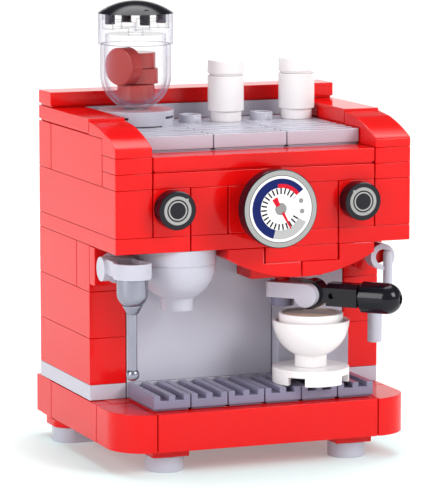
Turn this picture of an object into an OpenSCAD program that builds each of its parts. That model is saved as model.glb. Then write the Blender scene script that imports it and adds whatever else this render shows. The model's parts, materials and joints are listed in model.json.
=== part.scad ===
// Toy espresso machine assembled from interlocking studded bricks.
// Origin: on the ground under the middle of the base. +X right, -Y front, +Z up.

/* [Brick system] */
// Distance between neighbouring studs
pitch = 8; // [7.6:0.1:8.4]
// Height of a plate
plate_h = 3.2; // [3:0.1:3.4]
// Wall of a hollow brick, from its grid line
wall = 1.5; // [1.3:0.05:1.55]
// Roof above a brick's hollow underside
roof = 1.1; // [0.8:0.1:1.2]
// Play taken off each side face of a brick
play = 0.1; // [0.05:0.01:0.15]
// Gap left under each brick, where it sits on the one below
seat = 0.02; // [0.01:0.01:0.05]
// Radius of a stud
stud_r = 2.4; // [2.3:0.01:2.42]
// Height of a stud
stud_h = 1.7; // [1.5:0.1:1.8]
// Radius of the hole in a hollow stud
stud_bore_r = 1.6; // [1.3:0.1:1.7]
// Height of the groove round the bottom of a tile
groove_h = 0.4; // [0.3:0.05:0.6]
// Depth of the groove round the bottom of a tile
groove_d = 0.35; // [0.2:0.05:0.45]
// Radius of the thin rods that clips and pins hold
bar_r = 1.5; // [1.4:0.05:1.55]
// Radial running clearance of everything that turns
run_gap = 0.05; // [0.03:0.01:0.08]

/* [Body] */
// Thickness of the plain wall of a panel
panel_t = 1.6; // [1.2:0.1:2]
// Width of a slot in a drip tray tile
slot_w = 1.8; // [1.4:0.1:2]
// Depth of a slot in a grille tile
slot_deep = 1.1; // [0.7:0.1:1.4]
// Front lip height of the curved slopes
slope_lip = 1.7; // [1.2:0.1:2.2]
// Radius of the curve up the front of the slopes
slope_arc_r = 45; // [40:1:60]
// Depth at which that curve bends into the flatter back of the slopes
slope_bend = 10.5; // [9.5:0.1:11.5]
// Step from the tiles behind down to the back of the slopes
slope_step = 0.5; // [0.3:0.1:0.8]
// Radius of the inverted curve under the group head
group_arc_r = 31.3; // [29:0.1:34]

/* [Base] */
// Thickness of the tiles that close the base
skirt_t = 3.2; // [3:0.1:3.3]
// Depth of the rounded front corners
corner_depth = 14.4; // [14:0.1:14.8]
// Corner radius of the rear foot pads
pad_round = 3.6; // [2:0.1:4]
// Play round a foot
foot_play = 0.1; // [0.05:0.01:0.3]

/* [Dials] */
// Radius of the round knobs
knob_r = 3.9; // [3.4:0.1:4]
// Radius of the pressure gauge
gauge_r = 7.9; // [7:0.1:8]
// Thickness of the block behind the gauge
gauge_stand = 4.8; // [3.6:0.1:5.2]

/* [Cups and hopper] */
// Radius of round cups, saucer and bowls
round_r = 7.9; // [7.4:0.1:8]
// Wall of a round cup or bowl
cup_wall = 0.9; // [0.7:0.1:1.1]
// Radius of the foot under a round bowl
foot_neck_r = 3.3; // [3:0.1:3.6]
// Radius of a small deck cup
small_cup_r = 3.8; // [3.5:0.1:4]
// Radius of the raised collar inside the coffee cup
cup_collar_r = 6.6; // [6:0.1:6.8]
// Radius of the clear hopper
hopper_r = 7.4; // [7.2:0.1:7.7]
// Wall of the clear hopper
hopper_wall = 0.8; // [0.7:0.05:0.9]
// Radius of the clear rings on top of the hopper
hopper_collar_r = 7.8; // [7.7:0.1:8]
// Height of the clear hopper
hopper_h = 13.5; // [12.8:0.1:14]
// Rise of the lid's dome
lid_rise = 2.6; // [2:0.1:3]
// Height of the legs under the lid
lid_leg_h = 2.2; // [1.8:0.1:2.5]
// Radius of a toy coffee bean
bean_r = 3.9; // [3.5:0.1:3.9]

/* [Portafilter] */
// Height of the block that the portafilter hangs from
block_drop = 7.6; // [7:0.1:8]
// Gap between that block and the arm
arm_gap = 0.8; // [0.7:0.1:1.2]
// Angle of the portafilter from the right towards the front
filter_turn = 46; // [40:0.5:50]
// Length of the arm between its two pivots
filter_reach = 6.6; // [6.4:0.1:7.2]
// Half width of the arm
filter_half_w = 3.9; // [3.7:0.1:3.95]
// Length of the arm behind its swivel
filter_tail = 2.2; // [2:0.1:2.6]
// Radius of the round cheeks at the arm's end
cheek_r = 2.45; // [2.3:0.05:2.5]
// Thickness of each cheek
cheek_t = 2; // [1.8:0.1:2.1]
// Radius of the handle's knuckle
knuckle_r = 3.05; // [2.8:0.05:3.1]
// Depth of the handle's shank
shank_w = 3.6; // [3.2:0.1:3.7]
// Height of the handle's shank
shank_h = 4.6; // [4:0.1:4.8]
// Radius of the handle's grip
grip_r = 3.2; // [2.9:0.1:3.4]
// Distance from the handle's pivot to the tip of the grip
grip_tip = 19.6; // [18.5:0.1:21]
// Length of the straight part of the grip
grip_straight = 5; // [4.4:0.1:5.4]

/* [Wand and tap] */
// Distance of the wand's ring in front of its cross tube
wand_reach = 8.1; // [7.6:0.1:9]
// Offset of the wand to the right of its mount
wand_side = 0.2; // [0:0.1:1]
// Outer radius of the wand's ring
wand_ring_r = 3.9; // [3.5:0.1:4]
// Radius of the wand's silver body
wand_body_r = 3.2; // [3:0.1:3.4]
// Radius of the wand's thin rod
wand_rod_r = 0.95; // [0.8:0.05:1.1]
// Length from the ring to the ball at the wand's tip
wand_len = 19.3; // [17:0.1:19.8]
// Radius of the ball at the wand's tip
wand_ball_r = 1.35; // [1.2:0.05:1.6]
// Rise of the wand's ring above the middle of its cross tube
wand_rise = 0.6; // [0.2:0.1:0.9]
// Radius of the tap's thin tube
tap_tube_r = 0.95; // [0.8:0.05:1.2]
// Outer radius of the tap's clip
tap_clip_r = 2.7; // [2.5:0.05:2.9]
// Radius of the round plate behind the tap
tap_disc_r = 3.9; // [3.6:0.1:4]
// Drop from the tap's clip to the top of its nozzle
tap_drop = 8.6; // [8.4:0.1:9]
// Length of the tap's nozzle
tap_nozzle_l = 9.2; // [8:0.1:10]

/* [Hidden] */
$fn = 48;
brick_h = 3 * plate_h;
half_plate = plate_h / 2;
eps = 0.05;
// Small step by which joined shapes of one piece run into each other
join = 0.1;
// Studs across the body, and from its front to its back
cols = 8;
rows = 6;
body_w = cols * pitch;
body_d = rows * pitch;

// Radii of the tubes and pins inside a hollow brick, clear of the studs
tube_r = pitch / sqrt(2) - stud_r - run_gap;
pin_r = pitch / 2 - stud_r - play;

// Levels, from the ground up
pad_z = plate_h;
skirt_z = pad_z + half_plate;
base_z = skirt_z + pitch;
core_z = base_z - 2 * plate_h;
pillar_z = base_z + plate_h;
house_z = pillar_z + 3 * brick_h;
front_z = house_z + plate_h;
upper_z = front_z + brick_h;
deck_z = upper_z + 2 * plate_h;
cap_z = deck_z + plate_h;
bar_z = cap_z + plate_h;
dial_z = upper_z - pitch / 2;
group_z = house_z - plate_h;
mount_z = house_z - pitch / 2;

// Depths, from the rear face of the body forwards to the core of the base
front_y = -body_d / 2;
rear_y = body_d / 2;
core_front_y = front_y + pitch / 2;
rail_y = core_front_y - plate_h;
skirt_y = rail_y - skirt_t;
corner_back_y = skirt_y + corner_depth;
pillar_y = front_y + 2 * pitch;

// Centres of the round pieces
hopper_x = -body_w / 2 + 2 * pitch;
hopper_y = rear_y - 2 * pitch;
bowl_x = hopper_x;
bowl_y = front_y + pitch;
cup_x = 1.5 * pitch;
cup_y = front_y + 2 * pitch - plate_h - round_r - play;
swivel_x = pitch;
swivel_y = bowl_y + 0.3 * pitch;

// Heights of the portafilter
block_z = house_z - block_drop;
arm_top_z = block_z - arm_gap;
arm_z = arm_top_z - plate_h;
knuckle_z = arm_top_z - cheek_r;
spout_r = stud_r;
spout_h = 2;
knuckle_pin_r = 1;
pivot_pin_h = plate_h - 0.9;

// Wand and tap
mount_y = pillar_y - plate_h;
wand_mount_x = -body_w / 2 + pitch / 2;
tap_mount_x = body_w / 2 - pitch / 2;
cross_tube_r = 2.5;
cross_tube_y = mount_y - cross_tube_r - 0.4;
wand_x = wand_mount_x + wand_side;
wand_y = cross_tube_y - wand_reach;
ring_h = plate_h;
ring_z = mount_z - ring_h / 2 + wand_rise;
ring_bore_r = 1.7;
tap_y = mount_y - 0.8 * pitch;
tap_clip_w = plate_h;

// Levels of the cup and the hopper
saucer_z = pillar_z;
cup_z = saucer_z + plate_h;
cup_rim_z = cup_z + brick_h;
cup_collar_h = 1.5;
coffee_t = 0.8;
base_top_z = cap_z + plate_h;
collar_z = base_top_z + hopper_h;
lid_z = collar_z + 2 * plate_h;

// ---------------------------------------------------------------- bricks

// Moves to a grid corner: column i from the left, row j from the front
module at_grid(i, j, z)
    translate([i * pitch - body_w / 2, j * pitch - body_d / 2, z]) children();

// Repeats over the studs of a piece
module each_stud(nx, ny)
    for (i = [0:nx - 1], j = [0:ny - 1])
        translate([(i + 0.5) * pitch, (j + 0.5) * pitch, 0]) children();

module stud() translate([0, 0, -join]) cylinder(r = stud_r, h = stud_h + join);

module hollow_stud()
    difference() {
        stud();
        cylinder(r = stud_bore_r, h = stud_h + eps);
    }

module cell_box(nx, ny, h)
    translate([play, play, seat])
        cube([nx * pitch - 2 * play, ny * pitch - 2 * play, h - seat]);

// Hollow of a brick, open downwards
module hollow(nx, ny, depth)
    translate([wall, wall, -eps])
        cube([nx * pitch - 2 * wall, ny * pitch - 2 * wall, depth + eps]);

// Tubes between four studs, or pins between two, down from the roof
module inner_posts(nx, ny, depth)
    translate([0, 0, seat]) {
        post_h = depth + join - seat;
        if (nx > 1 && ny > 1)
            for (i = [1:nx - 1], j = [1:ny - 1])
                translate([i * pitch, j * pitch, 0])
                    difference() {
                        cylinder(r = tube_r, h = post_h);
                        translate([0, 0, -eps]) cylinder(r = stud_r, h = post_h - join + eps);
                    }
        else if (nx > 1)
            for (i = [1:nx - 1])
                translate([i * pitch, pitch / 2, 0]) cylinder(r = pin_r, h = post_h);
        else if (ny > 1)
            for (j = [1:ny - 1])
                translate([pitch / 2, j * pitch, 0]) cylinder(r = pin_r, h = post_h);
    }

// Hollow brick or plate without studs
module shell(nx, ny, h) {
    difference() {
        cell_box(nx, ny, h);
        hollow(nx, ny, h - roof);
    }
    inner_posts(nx, ny, h - roof);
}

module brick(nx, ny, h) {
    shell(nx, ny, h);
    translate([0, 0, h]) each_stud(nx, ny) stud();
}

// Tile: no studs, and a groove round its bottom edge
module tile(nx, ny)
    difference() {
        shell(nx, ny, plate_h);
        bottom_groove(nx * pitch, ny * pitch);
    }

module bottom_groove(w, d)
    difference() {
        translate([-play, -play, -eps]) cube([w + 2 * play, d + 2 * play, groove_h + eps]);
        translate([play + groove_d, play + groove_d, -2 * eps])
            cube([w - 2 * (play + groove_d), d - 2 * (play + groove_d), groove_h + 4 * eps]);
    }

// 1 x 2 grille tile with its slots along Y
module grille_tile() {
    slot_x = (pitch - 2 * play - 2 * slot_w) / 3;
    floor_h = plate_h - slot_deep - 0.3;
    difference() {
        cell_box(1, 2, plate_h);
        hollow(1, 2, min(floor_h, stud_h + play));
        bottom_groove(pitch, 2 * pitch);
        for (k = [0, 1])
            translate([play + slot_x + k * (slot_w + slot_x), -eps, plate_h - slot_deep])
                cube([slot_w, 2 * pitch + 2 * eps, slot_deep + eps]);
    }
}

// Round stud socket, open downwards
module socket(depth) translate([0, 0, -eps]) cylinder(r = stud_r + run_gap, h = depth + eps);

// Turns a piece that is drawn upwards so that it points to the front
module to_front() rotate([90, 0, 0]) children();

// Turns a piece that is drawn upwards so that it points to the rear
module to_rear() rotate([-90, 0, 0]) children();

// Straight rod between two points
module rod(a, b, r) {
    v = b - a;
    flat_len = norm([v[0], v[1]]);
    translate(a)
        rotate([0, atan2(flat_len, v[2]), atan2(v[1], v[0])])
            cylinder(r = r, h = norm(v));
}

// Solid plate standing on edge, from its left lower corner at the origin
module edge_slab(nx) translate([play, 0, 0]) cube([nx * pitch - 2 * play, plate_h, pitch]);

// Studs of a plate on edge, pointing to the front
module edge_studs(nx)
    for (i = [0:nx - 1])
        translate([(i + 0.5) * pitch, 0, pitch / 2]) to_front() stud();

// ------------------------------------------------------------------ base

// Centres of the feet from the middle of the body
foot_x = body_w / 2 - 1.5 * pitch;
front_foot_y = rail_y + pitch / 2;
rear_foot_y = rear_y - pitch;

module foot_disc()
    difference() {
        cylinder(r = pitch / 2 - foot_play, h = plate_h);
        translate([0, 0, plate_h - stud_h - play]) cylinder(r = stud_r + run_gap, h = stud_h + 1);
    }

module feet_front()
    color("silver")
        for (side = [-1, 1])
            translate([side * foot_x, front_foot_y, 0]) foot_disc();

module feet_rear()
    color("silver")
        for (side = [-1, 1])
            translate([side * (foot_x + pitch / 2), rear_foot_y, 0])
                difference() {
                    union() {
                        for (k = [-1, 1])
                            translate([k * pitch / 2, 0, 0])
                                cylinder(r = pitch / 2 - foot_play, h = plate_h);
                        translate([-pitch / 2, foot_play - pitch / 2, 0])
                            cube([pitch, pitch - 2 * foot_play, plate_h]);
                    }
                    for (k = [-1, 1])
                        translate([k * pitch / 2, 0, plate_h - stud_h - play])
                            cylinder(r = stud_r + run_gap, h = stud_h + 1);
                }

// Bracket that holds a front foot below the front rail
module foot_brackets_front()
    color("red")
        for (side = [-1, 1])
            translate([side * foot_x - pitch / 2, rail_y, 0]) {
                translate([0, 0, skirt_z]) {
                    edge_slab(1);
                    edge_studs(1);
                }
                translate([play, 0, pad_z]) cube([pitch - 2 * play, pitch, half_plate + join]);
                translate([pitch / 2, pitch / 2, pad_z + join]) mirror([0, 0, 1]) stud();
            }

// Bracket with a pad over a rear foot and a plate behind the body's corner
module foot_brackets_rear()
    color("red")
        for (side = [0, 1])
            mirror([side, 0, 0])
                translate([-body_w / 2, rear_foot_y - pitch / 2, pad_z]) {
                    rear_pad();
                    translate([0, pitch - plate_h, half_plate - join])
                        cube([pitch - play, plate_h, pitch + join]);
                    translate([pitch / 2, pitch - join, half_plate + pitch / 2])
                        to_rear() cylinder(r = stud_r, h = stud_h + join);
                    for (k = [0.5, 1.5])
                        translate([k * pitch, pitch / 2, join]) mirror([0, 0, 1]) stud();
                }

// Flat pad, two studs wide, with rounded front corners
module rear_pad() {
    for (x = [pad_round, 2 * pitch - play - pad_round])
        translate([x, pad_round, 0]) cylinder(r = pad_round, h = half_plate);
    translate([0, pad_round, 0]) cube([2 * pitch - play, pitch - pad_round, half_plate]);
    translate([pad_round, 0, 0])
        cube([2 * pitch - play - 2 * pad_round, pitch, half_plate]);
}

// Wide brackets behind the front and rear rails, with a leg under the core
module rail_bracket() {
    studs_wide = cols - 4;
    translate([0, 0, skirt_z]) {
        edge_slab(studs_wide);
        edge_studs(studs_wide);
    }
    translate([play, plate_h - join, skirt_z])
        cube([studs_wide * pitch - 2 * play, pitch + join - play, half_plate]);
    for (i = [0:studs_wide - 1])
        translate([(i + 0.5) * pitch, plate_h + pitch / 2, skirt_z + half_plate]) stud();
}

module rail_brackets()
    color("red")
        for (turn = [0, 1])
            rotate([0, 0, 180 * turn])
                translate([-body_w / 2 + 2 * pitch, rail_y, 0]) rail_bracket();

// Hollow tile on edge that closes a rail, its studs side to the rear
module edge_tile(nx, t)
    difference() {
        translate([play, 0, play]) cube([nx * pitch - 2 * play, t, pitch - 2 * play]);
        translate([wall, t - stud_h - play, wall])
            cube([nx * pitch - 2 * wall, stud_h + play + eps, pitch - 2 * wall]);
    }

module front_skirt_tile()
    color("red")
        translate([-body_w / 2 + pitch, skirt_y, skirt_z]) edge_tile(cols - 2, skirt_t);

// Quarter of a circle that rounds a front corner, from the side to the front
function corner_curve(r, n) =
    [for (k = [0:n]) let (a = 90 * k / n) [r * (1 - cos(a)), r * (1 - sin(a))]];

module corner_skirts() {
    curve_w = pitch - play;
    peg_x = (plate_h + pitch) / 2;
    color("red")
        for (side = [0, 1])
            mirror([side, 0, 0])
                translate([-body_w / 2, skirt_y, skirt_z + play])
                    difference() {
                        linear_extrude(pitch - 2 * play)
                            polygon(concat(corner_curve(curve_w, 14),
                                [[curve_w, corner_depth - play], [0, corner_depth - play]]));
                        translate([peg_x, corner_depth - stud_h - play, pitch / 2 - play])
                            to_rear() cylinder(r = bar_r + run_gap, h = stud_h + 1);
                    }
}

// Length of the plain tiles along the sides of the base
side_len = rear_foot_y + pitch / 2 - plate_h - corner_back_y;

module side_skirts()
    color("red")
        for (side = [0, 1])
            mirror([side, 0, 0])
                translate([-body_w / 2, corner_back_y, skirt_z])
                    difference() {
                        translate([0, play, play])
                            cube([skirt_t, side_len - 2 * play, pitch - 2 * play]);
                        translate([skirt_t - stud_h - play, wall, wall])
                            cube([stud_h + play + eps, side_len - 2 * wall, pitch - 2 * wall]);
                    }

// Spacers between the side tiles and the core, with a leg under the core
module side_spacers() {
    w = pitch - skirt_t;
    color("red")
        for (side = [0, 1])
            mirror([side, 0, 0])
                translate([-body_w / 2 + skirt_t, corner_back_y, skirt_z]) {
                    cube([w, side_len, pitch]);
                    translate([w - join, play, 0])
                        cube([pitch + join - play, 3 * pitch - 2 * play, half_plate]);
                    for (k = [-1:1])
                        translate([join, side_len / 2 + k * pitch, pitch / 2])
                            rotate([0, -90, 0]) cylinder(r = stud_r, h = stud_h + join);
                    for (k = [0:2])
                        translate([w + pitch / 2, (k + 0.5) * pitch, half_plate]) stud();
                    translate([(plate_h + pitch) / 2 - skirt_t, join, pitch / 2])
                        to_front() cylinder(r = bar_r, h = stud_h + join - play);
                }
}

// Two rows of plates on edge and two long tiles behind the body
module rear_skirt()
    color("red")
        rotate([0, 0, 180])
            for (side = [0, 1])
                mirror([side, 0, 0]) {
                    translate([-body_w / 2, skirt_y, skirt_z]) edge_tile(cols / 2, skirt_t);
                    translate([-body_w / 2, rail_y, skirt_z]) {
                        difference() {
                            edge_slab(2);
                            translate([wall, roof, wall])
                                cube([2 * pitch - 2 * wall, plate_h, pitch - 2 * wall]);
                        }
                        edge_studs(2);
                    }
                }

// Core of the base: two wide plates, half a stud forward of the body's grid
module core_plates()
    color("red") {
        translate([-body_w / 2 + pitch, core_front_y, core_z])
            brick(cols - 2, rows - 1, plate_h);
        translate([-body_w / 2 + pitch, core_front_y, core_z + plate_h])
            shell(cols - 2, rows - 1, plate_h);
        for (j = [1:rows - 2])
            at_grid(1, j, base_z) each_stud(cols - 2, 1) stud();
    }

module sill_plates()
    color("silver") {
        for (i = [0, cols - 1]) at_grid(i, 2, base_z) brick(1, rows - 2, plate_h);
        at_grid(1, 2, base_z) brick(cols - 2, rows - 2, plate_h);
    }

module drip_tray_tiles()
    color("dimgray")
        for (i = [1:cols - 2]) at_grid(i, 0, base_z) grille_tile();

// --------------------------------------------------------------- pillars

// Stud on the front face of a brick, at the height of a sideways plate
module side_stud(h)
    translate([pitch / 2, play, h - pitch / 2]) to_front() stud();

module pillar_bricks()
    color("red")
        for (i = [0, cols - 1]) {
            for (k = [0, 1])
                at_grid(i, 2, pillar_z + k * brick_h) brick(1, rows - 2, brick_h);
            at_grid(i, 2, pillar_z + 2 * brick_h) {
                brick(1, 1, brick_h);
                side_stud(brick_h);
            }
            at_grid(i, 3, pillar_z + 2 * brick_h) brick(1, rows - 3, brick_h);
        }

module rear_wall_bricks()
    color("red") {
        for (k = [0:2])
            at_grid(1, rows - 1, pillar_z + k * brick_h) brick(cols - 2, 1, brick_h);
        for (k = [0, 1])
            at_grid(1, rows - 1, front_z + k * brick_h) brick(cols - 2, 1, brick_h);
    }

// Thin wall between a hollow foot and a studded head, three bricks tall
module wall_panel(nx) {
    shell(nx, 1, plate_h);
    translate([play, play, seat])
        cube([nx * pitch - 2 * play, panel_t - play, 3 * brick_h - seat]);
    translate([0, 0, 3 * brick_h - plate_h]) brick(nx, 1, plate_h);
}

module wall_panels()
    color("silver") {
        at_grid(1, 2, pillar_z) wall_panel(4);
        at_grid(5, 2, pillar_z) wall_panel(cols - 6);
    }

// Low block in front of the narrow panel, standing on the tray
module panel_foot_block()
    color("silver")
        at_grid(5, 2, pillar_z)
            translate([play, -plate_h, 0]) cube([(cols - 6) * pitch - 2 * play, plate_h, brick_h]);

// --------------------------------------------------------------- housing

module housing_floor_plates()
    color("red") {
        for (i = [0, cols - 2]) at_grid(i, 0, house_z) brick(2, rows, plate_h);
        at_grid(2, 0, house_z) brick(cols - 4, rows, plate_h);
    }

module housing_front_bricks()
    color("red")
        for (i = [2, cols - 3]) at_grid(i, 0, front_z) brick(1, 1, brick_h);

// Bricks with studs on the front, which carry the knobs and the gauge
module dial_bricks()
    color("red") {
        for (i = [1, cols - 2])
            at_grid(i, 0, front_z) {
                brick(1, 1, brick_h);
                side_stud(brick_h);
            }
        at_grid(3, 0, front_z) {
            brick(2, 1, brick_h);
            translate([pitch / 2, 0, 0]) side_stud(brick_h);
        }
    }

module housing_side_bricks()
    color("red")
        for (i = [0, cols - 1]) at_grid(i, 0, front_z) brick(1, rows, brick_h);

module inner_bricks()
    color("red")
        for (i = [1, cols - 3]) at_grid(i, 1, front_z) brick(2, rows - 2, brick_h);

module upper_side_bricks()
    color("red")
        for (i = [0, cols - 1]) {
            at_grid(i, 1, upper_z) brick(1, rows - 2, brick_h);
            at_grid(i, rows - 1, upper_z) brick(1, 1, brick_h);
        }

module front_post_plates()
    color("red")
        for (i = [0, cols - 1], k = [0, 1])
            at_grid(i, 0, upper_z + k * plate_h) brick(1, 1, plate_h);

module front_long_plate() color("red") at_grid(1, 0, upper_z) brick(cols - 2, 1, plate_h);

module front_long_tile() color("red") at_grid(1, 0, upper_z + plate_h) tile(cols - 2, 1);

module deck_support_plates()
    color("silver")
        for (k = [0, 1])
            at_grid(1, 1, upper_z + k * plate_h) brick(cols - 2, rows - 2, plate_h);

module deck_grille_tiles()
    color("silver")
        for (i = [1:2:cols - 3], j = [1, 2])
            at_grid(i + 2, j, deck_z) rotate([0, 0, 90]) grille_tile();

// Two studs deep, with one hollow stud in the middle
module jumper_plate(nx) {
    difference() {
        shell(nx, 2, plate_h);
        bottom_groove(nx * pitch, 2 * pitch);
    }
    translate([nx * pitch / 2, pitch, plate_h]) hollow_stud();
}

module deck_jumper_plates()
    color("silver") {
        at_grid(1, 3, deck_z) jumper_plate(2);
        for (i = [3:cols - 2]) at_grid(i, 3, deck_z) jumper_plate(1);
    }

module backsplash_plate()
    color("silver") at_grid(1, rows - 1, cap_z) brick(cols - 2, 1, plate_h);

module side_cap_tiles()
    color("red")
        for (i = [0, cols - 1]) at_grid(i, 2, cap_z) tile(1, rows - 2);

module rear_bar_tile() color("red") at_grid(0, rows - 1, bar_z) tile(cols, 1);

// Points of an arc that bulges to the left of the way from a to b
function arc_points(a, b, r, n) =
    let (mid = (a + b) / 2, half = norm(b - a) / 2, dir = (b - a) / norm(b - a),
        centre = mid + [dir[1], -dir[0]] * sqrt(r * r - half * half),
        a0 = atan2(a[1] - centre[1], a[0] - centre[0]),
        a1 = atan2(b[1] - centre[1], b[0] - centre[0]))
    [for (k = [0:n]) let (t = a0 + (a1 - a0) * k / n) centre + r * [cos(t), sin(t)]];

// Curved slope over the front post, its back on the side brick
module curved_slope() {
    bevel = 0.4;
    tip = [play + bevel, slope_lip + bevel];
    back = [2 * pitch - play, 2 * plate_h - slope_step];
    bend = [slope_bend, back[1] - 0.11 * (back[0] - slope_bend)];
    side = concat([[play, seat], [play, slope_lip]], arc_points(tip, bend, slope_arc_r, 12),
        [back, [back[0], plate_h + seat], [pitch + play, plate_h + seat], [pitch + play, seat]]);
    difference() {
        translate([play, 0, 0]) rotate([90, 0, 90]) linear_extrude(pitch - 2 * play) polygon(side);
        translate([pitch / 2, pitch / 2, 0]) socket(stud_h + eps);
        translate([pitch / 2, 1.5 * pitch, plate_h]) socket(stud_h + eps);
    }
}

module curved_slopes()
    color("red")
        for (i = [0, cols - 1]) at_grid(i, 0, deck_z) curved_slope();

// ------------------------------------------------------------ group head

module group_plate() color("red") at_grid(4, 0, group_z) brick(2, 1, plate_h);

// Inverted curved piece: the arc below, one stud low and one stud high
module group_curve() {
    len = 2 * pitch - play;
    side = concat(
        [for (k = [0:16]) let (x = len * k / 16)
            [x, group_arc_r - sqrt(group_arc_r * group_arc_r - x * x)]],
        [[len, 2 * plate_h], [pitch + play, 2 * plate_h], [pitch + play, plate_h], [0, plate_h]]);
    translate([play, pitch - play, 0])
        to_front() linear_extrude(pitch - 2 * play) polygon(side);
    translate([pitch / 2, pitch / 2, plate_h]) stud();
    translate([1.5 * pitch, pitch / 2, 2 * plate_h]) stud();
}

module group_curves()
    color("red") {
        at_grid(5, 0, group_z - plate_h) group_curve();
        at_grid(5, 0, group_z - plate_h) mirror([1, 0, 0]) group_curve();
    }

// Block that carries the portafilter on a pin
module group_block()
    color("red") {
        translate([0, 0, block_z - house_z])
            at_grid(4, 1, house_z) cell_box(2, 1, block_drop);
        at_grid(4, 1, house_z) each_stud(2, 1) stud();
        translate([swivel_x, swivel_y, block_z - arm_gap - pivot_pin_h])
            cylinder(r = bar_r, h = arm_gap + pivot_pin_h + join);
    }

// Round bowl on a short foot, its rim at the origin's height
module round_bowl(inner_r) {
    foot_top = round_r - 0.6;
    difference() {
        union() {
            intersection() {
                sphere(r = round_r);
                translate([0, 0, -round_r]) cylinder(r = round_r + 1, h = round_r);
            }
            translate([0, 0, -brick_h]) cylinder(r = foot_neck_r, h = brick_h - foot_top + 0.6);
        }
        sphere(r = inner_r);
        translate([0, 0, -brick_h]) socket(stud_h + play);
    }
}

module bowl_plate()
    color("silver")
        translate([bowl_x, bowl_y, group_z]) {
            difference() {
                cylinder(r = round_r, h = plate_h);
                translate([0, 0, -eps]) cylinder(r = round_r - wall, h = plate_h - roof + eps);
            }
            for (i = [-1, 1], j = [-1, 1])
                translate([i * pitch / 2, j * pitch / 2, plate_h]) stud();
        }

module grinder_bowl()
    color("silver")
        translate([bowl_x, bowl_y, group_z]) round_bowl(round_r - cup_wall);

// ----------------------------------------------------------------- dials

module gauge_stand_block()
    color("black")
        translate([0, front_y, dial_z])
            to_front() {
                difference() {
                    cylinder(r = pitch / 2 - play, h = gauge_stand);
                    socket(stud_h + play);
                }
                translate([0, 0, gauge_stand]) stud();
            }

module gauge_dial()
    color("white")
        translate([0, front_y - gauge_stand, dial_z])
            to_front()
                difference() {
                    cylinder(r = gauge_r, h = plate_h);
                    socket(stud_h + play);
                }

module knob(x)
    color("black")
        translate([x, front_y, dial_z])
            to_front()
                difference() {
                    cylinder(r = knob_r, h = plate_h);
                    socket(stud_h + play);
                }

module knob_left() knob(-body_w / 2 + 1.5 * pitch);

module knob_right() knob(body_w / 2 - 1.5 * pitch);

// ---------------------------------------------------------- wand and tap

// Square plate on the front of a pillar, hollow at its back
module wand_mount()
    color("red") {
        translate([wand_mount_x - pitch / 2, mount_y, mount_z - pitch / 2])
            difference() {
                translate([play, 0, play]) cube([pitch - 2 * play, plate_h, pitch - 2 * play]);
                translate([wall, plate_h - stud_h - play, wall])
                    cube([pitch - 2 * wall, stud_h + play + eps, pitch - 2 * wall]);
            }
        translate([wand_mount_x, mount_y, mount_z]) to_front() stud();
    }

// Socket, cross tube, arm and ring that hold the steam wand
module wand_bracket() {
    socket_r = 3.1;
    arm_w = 6.4;
    groove_w = 4.4;
    tube_l = pitch - 0.6;
    color("silver")
        difference() {
            union() {
                translate([wand_mount_x, cross_tube_y, mount_z])
                    to_rear() cylinder(r = socket_r, h = mount_y - cross_tube_y - run_gap);
                translate([wand_mount_x - tube_l / 2, cross_tube_y, mount_z])
                    rotate([0, 90, 0]) cylinder(r = cross_tube_r, h = tube_l);
                translate([wand_x - arm_w / 2, wand_y, ring_z]) cube([arm_w, wand_reach, ring_h]);
                translate([wand_x, wand_y, ring_z]) cylinder(r = wand_ring_r, h = ring_h);
            }
            translate([wand_mount_x, mount_y, mount_z])
                to_front() socket(stud_h + play);
            translate([wand_x, wand_y, ring_z - eps])
                cylinder(r = ring_bore_r, h = ring_h + 2 * eps);
            translate([wand_x, wand_y, ring_z + ring_h - 0.9]) {
                cylinder(r = ring_bore_r + 1.5, h = 1);
                translate([-groove_w / 2, 0, 0]) cube([groove_w, wand_reach - 1.6, 1]);
            }
        }
}

module steam_wand() {
    body_h = 2.8;
    dome_h = 2.6;
    cone_h = 1.8;
    cone_r = 2.15;
    stem_r = ring_bore_r - run_gap;
    color("lightgray")
        translate([wand_x, wand_y, ring_z - run_gap]) {
            translate([0, 0, -1]) cylinder(r = stem_r, h = ring_h);
            translate([0, 0, -body_h]) cylinder(r = wand_body_r, h = body_h);
            translate([0, 0, -body_h])
                intersection() {
                    sphere(r = wand_body_r);
                    translate([0, 0, -dome_h]) cylinder(r = wand_body_r, h = dome_h + join);
                }
            translate([0, 0, -body_h - dome_h - cone_h + join])
                cylinder(r1 = wand_rod_r + 0.2, r2 = cone_r, h = cone_h);
            translate([0, 0, -wand_len]) cylinder(r = wand_rod_r, h = wand_len - body_h);
            translate([0, 0, -wand_len]) sphere(r = wand_ball_r);
        }
}

// Round plate on the pillar's side stud, with the rod that holds the tap
module tap_mount()
    color("red")
        translate([tap_mount_x, mount_y, mount_z]) {
            difference() {
                to_rear() cylinder(r = tap_disc_r, h = plate_h);
                translate([0, plate_h - stud_h - play, 0])
                    to_rear() cylinder(r = stud_r + run_gap, h = stud_h + 1);
            }
            translate([0, join, 0]) to_front() cylinder(r = bar_r, h = mount_y - tap_y + join);
        }

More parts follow.
